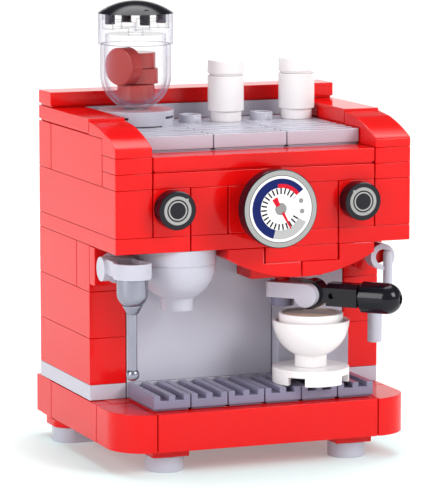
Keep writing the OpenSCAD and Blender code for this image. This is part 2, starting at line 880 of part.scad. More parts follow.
// Open clip on the mount's rod, a thin bent tube and a wider nozzle
module water_tap() {
    tube_top = [1.3, -tap_clip_w / 2 + 0.4, 0.6];
    nozzle_top = [-1, 0, -tap_drop];
    bend = [tube_top[0], tube_top[1], nozzle_top[2] + 2.4];
    opening = 2;
    color("silver")
        translate([tap_mount_x, tap_y, mount_z]) {
            difference() {
                translate([0, tap_clip_w / 2, 0]) to_front() cylinder(r = tap_clip_r, h = tap_clip_w);
                translate([0, tap_clip_w, 0])
                    to_front() cylinder(r = bar_r + run_gap, h = 2 * tap_clip_w);
                rotate([0, -35, 0])
                    translate([-opening / 2, -tap_clip_w, -tap_clip_r - 1])
                        cube([opening, 2 * tap_clip_w, tap_clip_r + 1]);
            }
            rod(bend, tube_top, tap_tube_r);
            for (end = [bend, tube_top]) translate(end) sphere(r = tap_tube_r);
            rod(bend, nozzle_top, tap_tube_r);
            difference() {
                translate(nozzle_top - [0, 0, tap_nozzle_l]) cylinder(r = bar_r, h = tap_nozzle_l + 0.4);
                translate(nozzle_top - [0, 0, tap_nozzle_l + eps]) cylinder(r = bar_r / 2, h = 3);
            }
        }
}

// ----------------------------------------------------------- portafilter

// Drawn along +X from the swivel, then turned to the portafilter's angle
module along_filter()
    translate([swivel_x, swivel_y, 0]) rotate([0, 0, -filter_turn]) children();

// Lies across the handle's pivot, its middle on the arm's centre line
module across_pivot(z, w)
    translate([filter_reach, w / 2, z]) to_front() children();

module portafilter_arm() {
    body_end = filter_reach - knuckle_r - 0.35;
    tail_round = 0.8;
    color("silver")
        along_filter()
            difference() {
                union() {
                    for (side = [-1, 1])
                        translate([tail_round - filter_tail, side * (filter_half_w - tail_round), arm_z])
                            cylinder(r = tail_round, h = plate_h);
                    translate([-filter_tail, tail_round - filter_half_w, arm_z])
                        cube([filter_tail, 2 * (filter_half_w - tail_round), plate_h]);
                    translate([tail_round - filter_tail, -filter_half_w, arm_z])
                        cube([body_end + filter_tail - tail_round, 2 * filter_half_w, plate_h]);
                    for (side = [-1, 1])
                        translate([0, side * (filter_half_w - cheek_t / 2), 0]) {
                            translate([0, -cheek_t / 2, arm_z]) cube([filter_reach, cheek_t, plate_h]);
                            across_pivot(knuckle_z, cheek_t) cylinder(r = cheek_r, h = cheek_t);
                        }
                    across_pivot(knuckle_z, 2 * filter_half_w - cheek_t)
                        cylinder(r = knuckle_pin_r, h = 2 * filter_half_w - cheek_t);
                }
                translate([0, 0, arm_top_z - pivot_pin_h - 0.1])
                    cylinder(r = bar_r + run_gap, h = pivot_pin_h + 1);
            }
}

module filter_spout()
    color("dimgray")
        translate([swivel_x, swivel_y, arm_z - spout_h])
            difference() {
                cylinder(r = spout_r, h = spout_h);
                translate([0, 0, -eps]) cylinder(r = stud_bore_r, h = spout_h - 0.6);
            }

module portafilter_handle() {
    shank_from = 3.8;
    shank_top = shank_h / 2 + 0.2;
    grip_from = grip_tip - grip_r - grip_straight;
    shank_to = grip_from - 0.9;
    neck_h = 3;
    neck_r = 1.6;
    bevel = 0.9;
    color("black")
        along_filter()
            translate([filter_reach, 0, knuckle_z]) {
                difference() {
                    union() {
                        translate([0, shank_w / 2, 0]) to_front() cylinder(r = knuckle_r, h = shank_w);
                        translate([0, -shank_w / 2, -neck_h / 2]) cube([shank_from + join, shank_w, neck_h]);
                    }
                    translate([0, shank_w, 0])
                        to_front() cylinder(r = knuckle_pin_r + run_gap, h = 2 * shank_w);
                }
                difference() {
                    translate([shank_from, 0, 0])
                        rotate([90, 0, 90])
                            linear_extrude(shank_to - shank_from)
                                polygon([[-shank_w / 2, shank_top - shank_h],
                                    [shank_w / 2, shank_top - shank_h], [shank_w / 2, shank_top],
                                    [-shank_w / 2 + bevel, shank_top],
                                    [-shank_w / 2, shank_top - bevel]]);
                    translate([shank_from + 1.2, -shank_w / 2 + 1, 0])
                        to_front() cylinder(r = 0.65, h = 2);
                }
                translate([shank_to - join, 0, 0])
                    rotate([0, 90, 0]) cylinder(r = neck_r, h = grip_from - shank_to + 2 * join);
                difference() {
                    union() {
                        translate([grip_from, 0, 0])
                            rotate([0, 90, 0]) cylinder(r = grip_r, h = grip_straight);
                        translate([grip_from + grip_straight, 0, 0]) sphere(r = grip_r);
                    }
                    translate([grip_tip - 0.4, 0, 0]) rotate([0, 90, 0]) cylinder(r = 0.9, h = 1);
                }
            }
}

// ------------------------------------------------------------------ cups

module coffee_cup() {
    groove = 0.6;
    ledge = 0.6;
    collar_deep = 3.3;
    disc_r = cup_collar_r - 0.7;
    color("white")
        translate([cup_x, cup_y, cup_rim_z]) {
            round_bowl(cup_collar_r + groove);
            difference() {
                translate([0, 0, -collar_deep])
                    cylinder(r = cup_collar_r, h = collar_deep + cup_collar_h);
                translate([0, 0, -collar_deep - eps])
                    cylinder(r = disc_r - ledge, h = collar_deep + 2 * cup_collar_h);
                translate([0, 0, cup_collar_h - coffee_t - 0.3]) cylinder(r = disc_r, h = 2);
            }
        }
}

module coffee_disc()
    color("tan")
        translate([cup_x, cup_y, cup_rim_z + cup_collar_h - coffee_t - 0.3])
            cylinder(r = cup_collar_r - 0.7 - run_gap, h = coffee_t);

// Small openings at the four diagonals of a round base
module diagonal_notches(w, h, deep)
    for (a = [45:90:315])
        rotate([0, 0, a]) translate([round_r - deep, -w / 2, 0]) cube([deep + 1, w, h]);

module cup_saucer() {
    notch_w = 3.6;
    notch_h = 1.8;
    color("white")
        translate([cup_x, cup_y, saucer_z]) {
            difference() {
                cylinder(r = round_r, h = plate_h);
                translate([0, 0, -eps]) cylinder(r = round_r - wall, h = plate_h - roof + eps);
                translate([0, 0, -eps]) diagonal_notches(notch_w, notch_h, wall + 1);
            }
            translate([0, 0, plate_h]) stud();
        }
}

// Round brick with a narrow foot, and a round tile on top
module deck_cup(x) {
    lip = 2.2;
    color("white")
        translate([x, hopper_y, cap_z]) {
            difference() {
                union() {
                    cylinder(r = foot_neck_r, h = lip + join);
                    translate([0, 0, lip]) cylinder(r = small_cup_r, h = brick_h - lip);
                    translate([0, 0, brick_h]) stud();
                }
                socket(stud_h + play);
            }
            translate([0, 0, brick_h + seat])
                difference() {
                    union() {
                        cylinder(r = small_cup_r - groove_d, h = groove_h + join);
                        translate([0, 0, groove_h])
                            cylinder(r = small_cup_r, h = plate_h - groove_h - seat);
                    }
                    socket(stud_h + play);
                }
        }
}

module deck_cup_left() deck_cup(pitch / 2);

module deck_cup_right() deck_cup(2.5 * pitch);

// ---------------------------------------------------------------- hopper

hopper_foot_r = 2.6;
hopper_foot_h = 0.7;
hopper_in_r = hopper_r - hopper_wall;
// Height of the middle of the hopper's round bottom
hopper_mid_z = base_top_z + hopper_r - 0.15;

module hopper_base() {
    // Thin top rim, the slots below it, and the low gaps on the four sides
    rim_t = 1.15;
    notch_h = 0.5;
    foot_gap_w = 6.2;
    color("silver")
        translate([hopper_x, hopper_y, cap_z])
            difference() {
                cylinder(r = round_r, h = plate_h);
                difference() {
                    translate([0, 0, -eps]) cylinder(r = round_r - wall, h = stud_h + play + eps);
                    cylinder(r = stud_r + 0.8, h = plate_h);
                }
                socket(stud_h + play);
                translate([0, 0, plate_h - rim_t - notch_h])
                    diagonal_notches(3.8, notch_h, wall + 0.3);
                for (a = [0:90:270])
                    rotate([0, 0, a])
                        translate([round_r - 1.2, -foot_gap_w / 2, -eps])
                            cube([2, foot_gap_w, 0.25 + eps]);
                translate([0, 0, plate_h - hopper_foot_h]) cylinder(r = hopper_foot_r + run_gap, h = 1);
            }
}

module hopper_bowl()
    color("azure", 0.4)
        translate([hopper_x, hopper_y, 0])
            difference() {
                union() {
                    intersection() {
                        translate([0, 0, hopper_mid_z]) sphere(r = hopper_r);
                        translate([0, 0, base_top_z]) cylinder(r = hopper_r + 1, h = hopper_r);
                    }
                    translate([0, 0, hopper_mid_z])
                        cylinder(r = hopper_r, h = collar_z - hopper_mid_z);
                    translate([0, 0, base_top_z - hopper_foot_h])
                        cylinder(r = hopper_foot_r, h = hopper_foot_h + 0.5);
                }
                translate([0, 0, hopper_mid_z]) sphere(r = hopper_in_r);
                translate([0, 0, hopper_mid_z]) cylinder(r = hopper_in_r, h = hopper_h);
            }

// Clear studded ring on the hopper, and a clear open ring on top of it
module hopper_collar()
    color("azure", 0.4)
        translate([hopper_x, hopper_y, collar_z]) {
            difference() {
                cylinder(r = hopper_collar_r, h = plate_h);
                translate([0, 0, -eps]) cylinder(r = hopper_collar_r - wall, h = plate_h - roof + eps);
                cylinder(r = stud_bore_r, h = plate_h + 1);
            }
            for (i = [-1, 1], j = [-1, 1])
                translate([i * pitch / 2, j * pitch / 2, plate_h]) stud();
            translate([0, 0, plate_h])
                difference() {
                    cylinder(r = hopper_collar_r, h = plate_h);
                    translate([0, 0, -eps]) cylinder(r = hopper_collar_r - hopper_wall, h = plate_h + 1);
                }
        }

module hopper_lid() {
    dome_r = (round_r * round_r + lid_rise * lid_rise) / (2 * lid_rise);
    lid_wall = 0.9;
    leg_r = 1.05;
    leg_x = 0.7 * pitch;
    color("black")
        translate([hopper_x, hopper_y, lid_z]) {
            difference() {
                intersection() {
                    translate([0, 0, lid_rise - dome_r]) sphere(r = dome_r);
                    cylinder(r = round_r + 1, h = lid_rise + 1);
                }
                intersection() {
                    translate([0, 0, lid_rise - dome_r]) sphere(r = dome_r - lid_wall);
                    translate([0, 0, -eps]) cylinder(r = round_r, h = lid_rise + 1);
                }
            }
            for (turn = [0:90:270])
                rotate(turn) translate([leg_x, 0, -lid_leg_h]) cylinder(r = leg_r, h = lid_leg_h + 0.9);
        }
}

// Four loose discs: one flat at the bottom, two flat on it, one on edge
module beans() {
    bean_t = plate_h;
    rest = 0.03;
    low_z = hopper_mid_z - sqrt(pow(hopper_in_r, 2) - bean_r * bean_r) + rest;
    second_z = low_z + bean_t + rest;
    lean = 207;
    lean_out = sqrt(pow(hopper_in_r - 0.1, 2) - bean_r * bean_r);
    module bean() cylinder(r = bean_r, h = bean_t);
    color("sienna")
        translate([hopper_x, hopper_y, 0]) {
            translate([0, 0, low_z]) bean();
            translate([1.36, 1.52, second_z]) bean();
            translate([1.04, 2.15, second_z + bean_t + rest]) bean();
            rotate([0, 0, lean])
                translate([lean_out - bean_t, 0, second_z + bean_r])
                    rotate([0, 90, 0]) bean();
        }
}

feet_front();
feet_rear();
foot_brackets_front();
foot_brackets_rear();
rail_brackets();
front_skirt_tile();
corner_skirts();
side_skirts();
rear_skirt();
core_plates();
side_spacers();
sill_plates();
drip_tray_tiles();
pillar_bricks();
rear_wall_bricks();
wall_panels();
panel_foot_block();
housing_floor_plates();
housing_front_bricks();
dial_bricks();
housing_side_bricks();
inner_bricks();
upper_side_bricks();
front_post_plates();
front_long_plate();
front_long_tile();
deck_support_plates();
deck_grille_tiles();
deck_jumper_plates();
backsplash_plate();
side_cap_tiles();
curved_slopes();
rear_bar_tile();
group_plate();
group_curves();
group_block();
bowl_plate();
grinder_bowl();
gauge_stand_block();
gauge_dial();
knob_left();
knob_right();
wand_mount();
wand_bracket();
steam_wand();
tap_mount();
water_tap();
portafilter_arm();
filter_spout();
portafilter_handle();
coffee_cup();
coffee_disc();
cup_saucer();
deck_cup_left();
deck_cup_right();
hopper_base();
hopper_bowl();
hopper_collar();
hopper_lid();
beans();
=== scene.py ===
"""Finishes the brick-built toy coffee maker.

Rounds the moulded edges, gives the plastics their gloss, prints the dials and sets a pale studio.
"""

import json
import math

import bmesh
import bpy
from bpy.props import FloatProperty, FloatVectorProperty, IntProperty, PointerProperty
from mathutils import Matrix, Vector

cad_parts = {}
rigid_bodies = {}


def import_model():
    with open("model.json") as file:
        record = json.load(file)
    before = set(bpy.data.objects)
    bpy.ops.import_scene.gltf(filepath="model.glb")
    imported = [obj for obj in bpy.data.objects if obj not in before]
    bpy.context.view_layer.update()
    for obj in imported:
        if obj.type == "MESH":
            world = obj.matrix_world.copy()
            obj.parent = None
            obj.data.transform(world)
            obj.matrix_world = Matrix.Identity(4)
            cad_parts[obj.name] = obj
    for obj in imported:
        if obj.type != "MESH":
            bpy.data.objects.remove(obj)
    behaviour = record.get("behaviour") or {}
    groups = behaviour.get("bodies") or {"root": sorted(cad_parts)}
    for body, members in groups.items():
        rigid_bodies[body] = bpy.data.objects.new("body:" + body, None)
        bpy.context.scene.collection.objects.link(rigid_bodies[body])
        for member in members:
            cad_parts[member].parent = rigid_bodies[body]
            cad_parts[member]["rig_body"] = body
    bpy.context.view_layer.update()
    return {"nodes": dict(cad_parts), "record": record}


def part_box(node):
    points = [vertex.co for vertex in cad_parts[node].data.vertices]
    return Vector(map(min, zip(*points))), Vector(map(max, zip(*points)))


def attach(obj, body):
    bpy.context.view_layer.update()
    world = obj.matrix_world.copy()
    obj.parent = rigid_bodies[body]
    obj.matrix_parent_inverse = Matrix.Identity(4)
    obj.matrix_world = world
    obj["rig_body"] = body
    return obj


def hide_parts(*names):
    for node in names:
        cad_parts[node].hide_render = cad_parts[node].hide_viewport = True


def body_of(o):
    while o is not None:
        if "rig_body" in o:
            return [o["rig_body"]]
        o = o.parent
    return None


for leftover in list(bpy.data.objects):
    bpy.data.objects.remove(leftover, do_unlink=True)

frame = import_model()
NODES = frame["nodes"]
SLOTS = {part["node"]: part["material_slot"] for part in frame["record"]["subparts"]}

bl_info = {
    "name": "Toy Coffee Maker Finish",
    "version": (1, 0, 0),
    "blender": (4, 5, 0),
    "location": "View3D > Sidebar > Coffee Maker",
    "description": "Finishes the pieces of a brick-built toy coffee maker and sets its stage",
    "category": "Object",
}

MM = 0.001
WELD = 0.002 * MM
FLAT_ANGLE = math.radians(0.4)
PRINT_CREASE = math.radians(30)
NORMAL_WEIGHT = 80

# Optics of the plastics.
OPAQUE_IOR = 1.53
CLEAR_IOR = 1.5
PEARL_METAL = 0.8

# Moulded plastic: how far the shade and the gloss wander over a brick.
FLOW_STRETCH = 1.6
DEEP_SHADE = 0.72
BRICK_SHARE = 0.75
FLOW_SHARE = 0.5
GRAIN_ROUGHNESS = 0.05
FLOW_ROUGHNESS = 0.04
GRAIN_HEIGHT = 0.0006
BLACK_SHINE = 0.24
BEAN_SHINE = 0.32

# Clear plastic: its cover grows with the cube of how much it is seen edge on, and a painted shade
# darkens its colour there.
RIM_COVER = 1.1
PAINTED_RIM_SHADE = 0.55
CLEAR_WAVE = 0.01
CLEAR_COVER = 0.002

# Each brick's tone comes from these multiples of where it stands.
TONE_STEPS = (12989.8, 78233.1, 37719.3)
TONE_SCALE = 43758.5453

# Floor: a painted cooler colour under the object, cancelling the red light that the bricks bounce
# onto it.
CLOUD_SPACING = 0.4
PAINTED_COUNTER_BOUNCE_REACH = (0.03, 0.065)
PAINTED_COUNTER_BOUNCE_TINT = (0.68, 0.95, 0.95)

# Air: cosines from the middle of the high soft box, then heights and depths of the heading.
HIGH_BOX = (0.124, 0.318, 0.94)
HIGH_BOX_EDGE = (0.87, 0.95)
LOW_AIR = (0.16, 0.34)
UPPER_AIR = 0.1
FRONT_TO_BACK = (-0.4, 0.4)

# Soft boxes: name, place, width and height in metres. All aim at the middle of the object.
SOFT_BOXES = (
    ("box_left", (-1.0, -0.35, 0.45), 0.5, 0.7),
    ("box_front", (0.7, -1.0, 0.75), 0.6, 0.6),
)
BOX_AIM = (0, 0, 0.05)

SENSOR_WIDTH = 36
VIEW_NEAR = 0.01
VIEW_FAR = 50

# Gauge, as shares of the dial's radius. An arc gives its ink, inner and outer radius, start and
# sweep in degrees clockwise from the top, and the film's thickness in millimetres.
GAUGE_ARCS = (
    ("gauge_face", "white", 0.0, 0.848, 0, 360, 0.02),
    ("gauge_bezel", "silver", 0.84, 0.975, 0, 360, 0.022),
    ("gauge_outline", "black", 0.842, 0.856, 0, 360, 0.03),
    ("gauge_navy_band", "navy", 0.545, 0.772, 195.5, 216.5, 0.03),
    ("gauge_red_band", "red", 0.535, 0.637, -8, 60, 0.04),
    ("gauge_grey_sector", "grey", 0.54, 0.77, 117, 78.5, 0.03),
    ("gauge_hub", "hub", 0.0, 0.157, 0, 360, 0.05),
)
# A row of ticks gives how many, their middle radius, start and step in degrees, length and width.
GAUGE_TICKS = (
    ("gauge_ticks", 22, 0.457, 119.3, 13.4, 0.155, 0.042),
    ("gauge_fine_tick", 1, 0.455, 53.6, 1.0, 0.13, 0.012),
)
# Corners are (right, up) from the middle.
GAUGE_OUTLINES = (
    (
        "gauge_pointer_tail",
        ((-0.2314, 0.2299), (-0.0992, 0.3085), (-0.0165, 0.0942), (-0.124, 0.0532)),
    ),
    ("gauge_needle", ((0.085, -0.07), (0.02, -0.115), (0.262, -0.515), (0.292, -0.498))),
)
GAUGE_DOTS = ((0.549, 0.189), (0.5785, -0.077))
DOT_RADIUS = 0.063

# Films of ink, and the knobs' rings and marks, in millimetres and degrees.
TICK_FILM = 0.045
POINTER_FILM = 0.06
DOT_FILM = 0.035
MARK_FILM = 0.022
KNOB_MARKS = (("knob_left", 44), ("knob_right", -43))
KNOB_RINGS = (("_wide_ring", 2.25, 2.87), ("_thin_ring", 1.66, 1.95))
MARK_FOOT = 2.7
MARK_TIP = 3.25
MARK_HALF = 13

BASE_NODES = (
    "feet_front", "feet_rear", "foot_brackets_front", "foot_brackets_rear", "rail_brackets",
    "front_skirt_tile", "corner_skirts", "side_skirts", "rear_skirt", "core_plates",
    "side_spacers", "sill_plates",
)
COLUMN_NODES = ("pillar_bricks", "rear_wall_bricks", "wall_panels", "panel_foot_block")
HOUSING_NODES = (
    "housing_floor_plates", "housing_front_bricks", "dial_bricks", "housing_side_bricks",
    "inner_bricks", "upper_side_bricks", "front_post_plates", "front_long_plate",
    "front_long_tile", "curved_slopes", "side_cap_tiles", "rear_bar_tile", "backsplash_plate",
)
DECK_NODES = ("deck_support_plates", "deck_jumper_plates")
GROUP_NODES = ("group_plate", "group_curves", "group_block", "bowl_plate", "grinder_bowl")
WAND_NODES = ("wand_mount", "wand_bracket", "steam_wand")
TAP_NODES = ("tap_mount", "water_tap")
FILTER_NODES = ("portafilter_arm", "filter_spout", "portafilter_handle")
CUP_NODES = ("coffee_cup", "coffee_disc", "cup_saucer", "deck_cup_left", "deck_cup_right")
HOPPER_NODES = ("hopper_base", "hopper_bowl", "hopper_collar", "hopper_lid", "beans")


# ---------------------------------------------------------------- settings


def colour_setting(name, description, value):
    """A colour that the sidebar shows as a swatch."""
    return FloatVectorProperty(
        name=name, description=description, subtype="COLOR", size=3, min=0, max=1, default=value
    )


def length_setting(name, description, millimetres):
    """A length in metres, given here in millimetres."""
    return FloatProperty(
        name=name, description=description, unit="LENGTH", subtype="DISTANCE", min=0,
        precision=5, default=millimetres * MM,
    )


def turn_setting(name, description, degrees):
    """An angle, given here in degrees."""
    return FloatProperty(
        name=name, description=description, unit="ROTATION", subtype="ANGLE",
        default=math.radians(degrees),
    )


class CoffeeEdges(bpy.types.PropertyGroup):
    """How the moulded edges are rounded."""

    edge_round: length_setting("Edge round", "Width of the rounding along a moulded edge", 0.17)
    edge_steps: IntProperty(
        name="Edge steps", description="Faces across one rounding", default=2, min=1, max=4
    )
    crease: turn_setting("Crease", "Smallest angle that counts as an edge", 28)


class CoffeeColours(bpy.types.PropertyGroup):
    """Colours of the moulded plastics and of the printed ink."""

    red: colour_setting("Red", "Bricks of the body", (0.68, 0.004, 0.004))
    light_grey: colour_setting("Light grey", "Panels, deck and bowls", (0.485, 0.48, 0.555))
    dark_grey: colour_setting("Dark grey", "Drip tray", (0.21, 0.2, 0.29))
    black: colour_setting("Black", "Knobs, handle and lid", (0.004, 0.004, 0.008))
    white: colour_setting("White", "Cups and saucer", (0.82, 0.79, 0.795))
    coffee_brown: colour_setting("Coffee", "Drink in the cup", (0.55, 0.36, 0.24))
    bean_brown: colour_setting("Beans", "Loose discs in the hopper", (0.36, 0.035, 0.03))
    clear: colour_setting("Clear", "Hopper", (0.60, 0.56, 0.76))
    pearl_silver: colour_setting("Pearl silver", "Steam wand", (0.25, 0.255, 0.31))
    ink_silver: colour_setting("Silver ink", "Rings on the dials", (0.33, 0.335, 0.325))
    ink_white: colour_setting("White ink", "Face of the gauge", (0.82, 0.81, 0.81))
    ink_navy: colour_setting("Navy ink", "Long band of the gauge", (0.008, 0.015, 0.105))
    ink_red: colour_setting("Red ink", "Short band and pointer", (0.56, 0.010, 0.028))
    ink_grey: colour_setting("Grey ink", "Sector of the gauge", (0.41, 0.41, 0.415))
    ink_hub: colour_setting("Hub ink", "Hub and dots of the gauge", (0.25, 0.25, 0.245))
    ink_black: colour_setting("Black ink", "Ticks and outlines", (0.015, 0.015, 0.018))


class CoffeeSurface(bpy.types.PropertyGroup):
    """How the plastic catches the light."""

    gloss: FloatProperty(
        name="Roughness", description="Roughness of the polished plastic", default=0.13,
        min=0, max=1,
    )
    shine: FloatProperty(
        name="Shine", description="Strength of the mirror image in plastic seen straight on",
        default=0.18, min=0, max=1,
    )
    ripple: length_setting("Ripple", "Distance between the soft waves of a moulded face", 9)
    ripple_height: length_setting("Ripple height", "Height of those waves", 0.012)
    grain: length_setting("Grain", "Distance between fine marks in the gloss", 0.7)
    tone: FloatProperty(
        name="Tone spread", description="How much one brick differs from the next", default=0.06,
        min=0, max=1,
    )


class CoffeeStudio(bpy.types.PropertyGroup):
    """Camera, floor and soft boxes."""

    azimuth: turn_setting("Azimuth", "Turn of the camera round the object", -21.34)
    elevation: turn_setting("Elevation", "Height of the camera above the horizon", 8.19)
    camera_place: FloatVectorProperty(
        name="Camera", description="Place of the camera", subtype="TRANSLATION", unit="LENGTH",
        size=3, default=(-0.2465, -0.62788, 0.13819),
    )
    lens: FloatProperty(name="Lens", description="Focal length in millimetres", default=236.07)
    floor_tone: FloatProperty(
        name="Floor", description="Brightness of the floor", default=0.8, min=0, max=1
    )
    floor_glow: FloatProperty(
        name="Floor glow", description="Light that the floor gives by itself", default=0.25, min=0
    )
    floor_width: length_setting("Floor width", "Side of the floor", 12000)
    air_behind: FloatProperty(
        name="Air behind", description="Light from all round behind the object", default=1.1, min=0
    )
    air_before: FloatProperty(
        name="Air before", description="Light from all round in front of it", default=0.45, min=0
    )
    air_above: FloatProperty(
        name="Top box", description="Brightness of the soft box high behind", default=4.3, min=0
    )
    box_left: FloatProperty(
        name="Left box", description="Brightness of the left soft box", default=6.5, min=0
    )
    box_front: FloatProperty(
        name="Front box", description="Brightness of the front soft box", default=11.5, min=0
    )


# ------------------------------------------------------------- node benches


class Wire:
    """A node socket that takes part in arithmetic."""

    def __init__(self, bench, socket):
        self.bench = bench
        self.socket = socket

    def _math(self, operation, first, second=None):
        inputs = {0: first} if second is None else {0: first, 1: second}
        return self.bench.add("ShaderNodeMath", {"operation": operation}, inputs)

    def __add__(self, other):
        return self._math("ADD", self, other)

    __radd__ = __add__

    def __sub__(self, other):
        return self._math("SUBTRACT", self, other)

    def __rsub__(self, other):
        return self._math("SUBTRACT", other, self)

    def __mul__(self, other):
        return self._math("MULTIPLY", self, other)

    __rmul__ = __mul__

    def sine(self):
        return self._math("SINE", self)

    def cosine(self):
        return self._math("COSINE", self)


class Bench:
    """Adds nodes to one tree, for a material or for geometry."""

    def __init__(self, tree):
        self.tree = tree

    def add(self, kind, settings=None, inputs=None, output=0):
        """Makes one node, its settings first and then its sockets, and gives one output back."""
        node = self.tree.nodes.new(kind)
        for key, value in (settings or {}).items():
            if key == "stops":
                ramp = node.color_ramp
                for spot, (place, shade) in enumerate(value):
                    stop = ramp.elements[spot] if spot < 2 else ramp.elements.new(place)
                    stop.position = place
                    stop.color = shade
            else:
                setattr(node, key, value)
        for key, value in (inputs or {}).items():
            several = value if isinstance(value, list) else [value]
            for item in several:
                if isinstance(item, Wire):
                    self.tree.links.new(item.socket, node.inputs[key])
                else:
                    node.inputs[key].default_value = item
        return Wire(self, node.outputs[output]) if node.outputs else node

    def blend(self, factor, first, second, kind="MIX"):
        """Mixes two colours."""
        return self.add(
            "ShaderNodeMix",
            {"data_type": "RGBA", "blend_type": kind},
            {0: factor, 6: first, 7: second},
            output=2,
        )

    def noise(self, place, spacing, detail=2.0):
        """Soft noise whose lumps lie about one spacing apart, from 0 to 1."""
        return self.add(
            "ShaderNodeTexNoise",
            {"noise_dimensions": "3D"},
            {"Vector": place, "Scale": 1 / spacing, "Detail": detail, "Roughness": 0.5},
        )


def opaque(colour):
    """A colour with full alpha."""
    return (*colour, 1.0)


def new_material(name):
    """An empty material, its bench and its place on the object."""
    material = bpy.data.materials.new(name)
    material.use_nodes = True
    material.node_tree.nodes.clear()
    bench = Bench(material.node_tree)
    place = bench.add("ShaderNodeTexCoord", output="Object")
    return material, bench, place


def moulded_plastic(context, name, colour, rough=0.0, shine=None):
    """Polished plastic: each brick a shade apart, faint flow marks, soft waves in the gloss."""
    surface = context.scene.coffee_surface
    material, bench, place = new_material(name)
    tone = bench.add("ShaderNodeAttribute", {"attribute_name": "tone"}, output="Fac")
    flow = bench.noise(place, surface.ripple * FLOW_STRETCH)
    grain = bench.noise(place, surface.grain, 4.0)
    deep = opaque([channel * DEEP_SHADE for channel in colour])
    shade = (tone * BRICK_SHARE + flow * FLOW_SHARE) * surface.tone * 2.0
    base = bench.blend(shade, opaque(colour), deep)
    smooth = surface.gloss + rough - (GRAIN_ROUGHNESS + FLOW_ROUGHNESS) / 2
    roughness = grain * GRAIN_ROUGHNESS + (flow * FLOW_ROUGHNESS + smooth)
    wave = bench.noise(place, surface.ripple, 1.0)
    height = wave * (surface.ripple_height / MM) + grain * GRAIN_HEIGHT
    normal = bench.add(
        "ShaderNodeBump", {}, {"Strength": 1.0, "Distance": MM, "Height": height}
    )
    shader = bench.add(
        "ShaderNodeBsdfPrincipled",
        {},
        {
            "Base Color": base,
            "Roughness": roughness,
            "IOR": OPAQUE_IOR,
            "Specular IOR Level": surface.shine if shine is None else shine,
            "Normal": normal,
        },
    )
    bench.add("ShaderNodeOutputMaterial", {}, {"Surface": shader})
    return material


def pearl_plastic(context, name, colour):
    """Silver plastic with fine metal flake that swirls with the flow of the moulding."""
    surface = context.scene.coffee_surface
    material, bench, place = new_material(name)
    swirl = bench.noise(place, surface.ripple * 0.5, 3.0)
    flake = bench.noise(place, surface.grain * 0.3, 1.0)
    bright = opaque([min(1.0, channel * 1.25) for channel in colour])
    deep = opaque([channel * 0.8 for channel in colour])
    base = bench.blend(swirl * 0.7 + flake * 0.3, deep, bright)
    roughness = flake * 0.08 + (surface.gloss + 0.02)
    normal = bench.add(
        "ShaderNodeBump", {}, {"Strength": 1.0, "Distance": MM, "Height": flake * 0.0012}
    )
    shader = bench.add(
        "ShaderNodeBsdfPrincipled",
        {},
        {
            "Base Color": base,
            "Roughness": roughness,
            "Metallic": PEARL_METAL,
            "IOR": OPAQUE_IOR,
            "Normal": normal,
        },
    )
    bench.add("ShaderNodeOutputMaterial", {}, {"Surface": shader})
    return material


def clear_plastic(context, name, colour):
    """Clear plastic: faint in the middle, denser where it is seen along the wall, and darker there
    by painted shade.
    """
    surface = context.scene.coffee_surface
    material, bench, place = new_material(name)
    wave = bench.noise(place, surface.ripple * 0.7, 1.0)
    rim = bench.add("ShaderNodeLayerWeight", {}, {"Blend": 0.5}, output="Facing")
    alpha = rim * rim * rim * RIM_COVER + (wave * CLEAR_WAVE + CLEAR_COVER)
    # Painted shade: the colour darkens where the wall is seen edge on, standing in for the dark
    # edges of clear plastic.
    tint = bench.blend(rim, opaque(colour), opaque([channel * PAINTED_RIM_SHADE for channel in colour]))
    normal = bench.add(
        "ShaderNodeBump", {}, {"Strength": 1.0, "Distance": MM, "Height": wave * CLEAR_WAVE}
    )
    shader = bench.add(
        "ShaderNodeBsdfPrincipled",
        {},
        {
            "Base Color": tint,
            "Roughness": wave * 0.02 + 0.03,
            "IOR": CLEAR_IOR,
            "Alpha": alpha,
            "Normal": normal,
        },
    )
    bench.add("ShaderNodeOutputMaterial", {}, {"Surface": shader})
    return material


def printed_ink(context, name, colour):
    """Pad-printed ink: thin, slightly uneven in tone, a little duller than the plastic."""
    surface = context.scene.coffee_surface
    material, bench, place = new_material(name)
    cover = bench.noise(place, surface.grain * 0.6, 3.0)
    base = bench.blend(
        cover * 0.16, opaque(colour), opaque([channel * 0.6 for channel in colour])
    )
    shader = bench.add(
        "ShaderNodeBsdfPrincipled",
        {},
        {
            "Base Color": base,
            "Roughness": cover * 0.06 + (surface.gloss + 0.1),
            "IOR": CLEAR_IOR,
            "Specular IOR Level": surface.shine * 0.4,
        },
    )
    bench.add("ShaderNodeOutputMaterial", {}, {"Surface": shader})
    return material


def finish_for(context, slot):
    """The material of one of the record's slots, made when it is first asked for."""
    name = "plastic_" + slot
    if name in bpy.data.materials:
        return bpy.data.materials[name]
    colours = context.scene.coffee_colours
    if slot == "gauge_print":
        return moulded_plastic(context, name, colours.black)
    colour = getattr(colours, slot)
    if slot == "clear":
        return clear_plastic(context, name, colour)
    if slot == "pearl_silver":
        return pearl_plastic(context, name, colour)
    if slot == "black":
        return moulded_plastic(context, name, colour, rough=0.02, shine=BLACK_SHINE)
    if slot == "bean_brown":
        return moulded_plastic(context, name, colour, shine=BEAN_SHINE)
    return moulded_plastic(context, name, colour)


def ink_for(context, tone):
    """The material of one printed colour."""
    name = "print_" + tone
    if name in bpy.data.materials:
        return bpy.data.materials[name]
    return printed_ink(context, name, getattr(context.scene.coffee_colours, "ink_" + tone))


# --------------------------------------------------------- finishing pieces


def brick_tone(centre):
    """A fixed number from 0 to 1 for one brick, from where it stands."""
    mixed = math.sin(sum(way * step for way, step in zip(centre, TONE_STEPS))) * TONE_SCALE
    return mixed - math.floor(mixed)


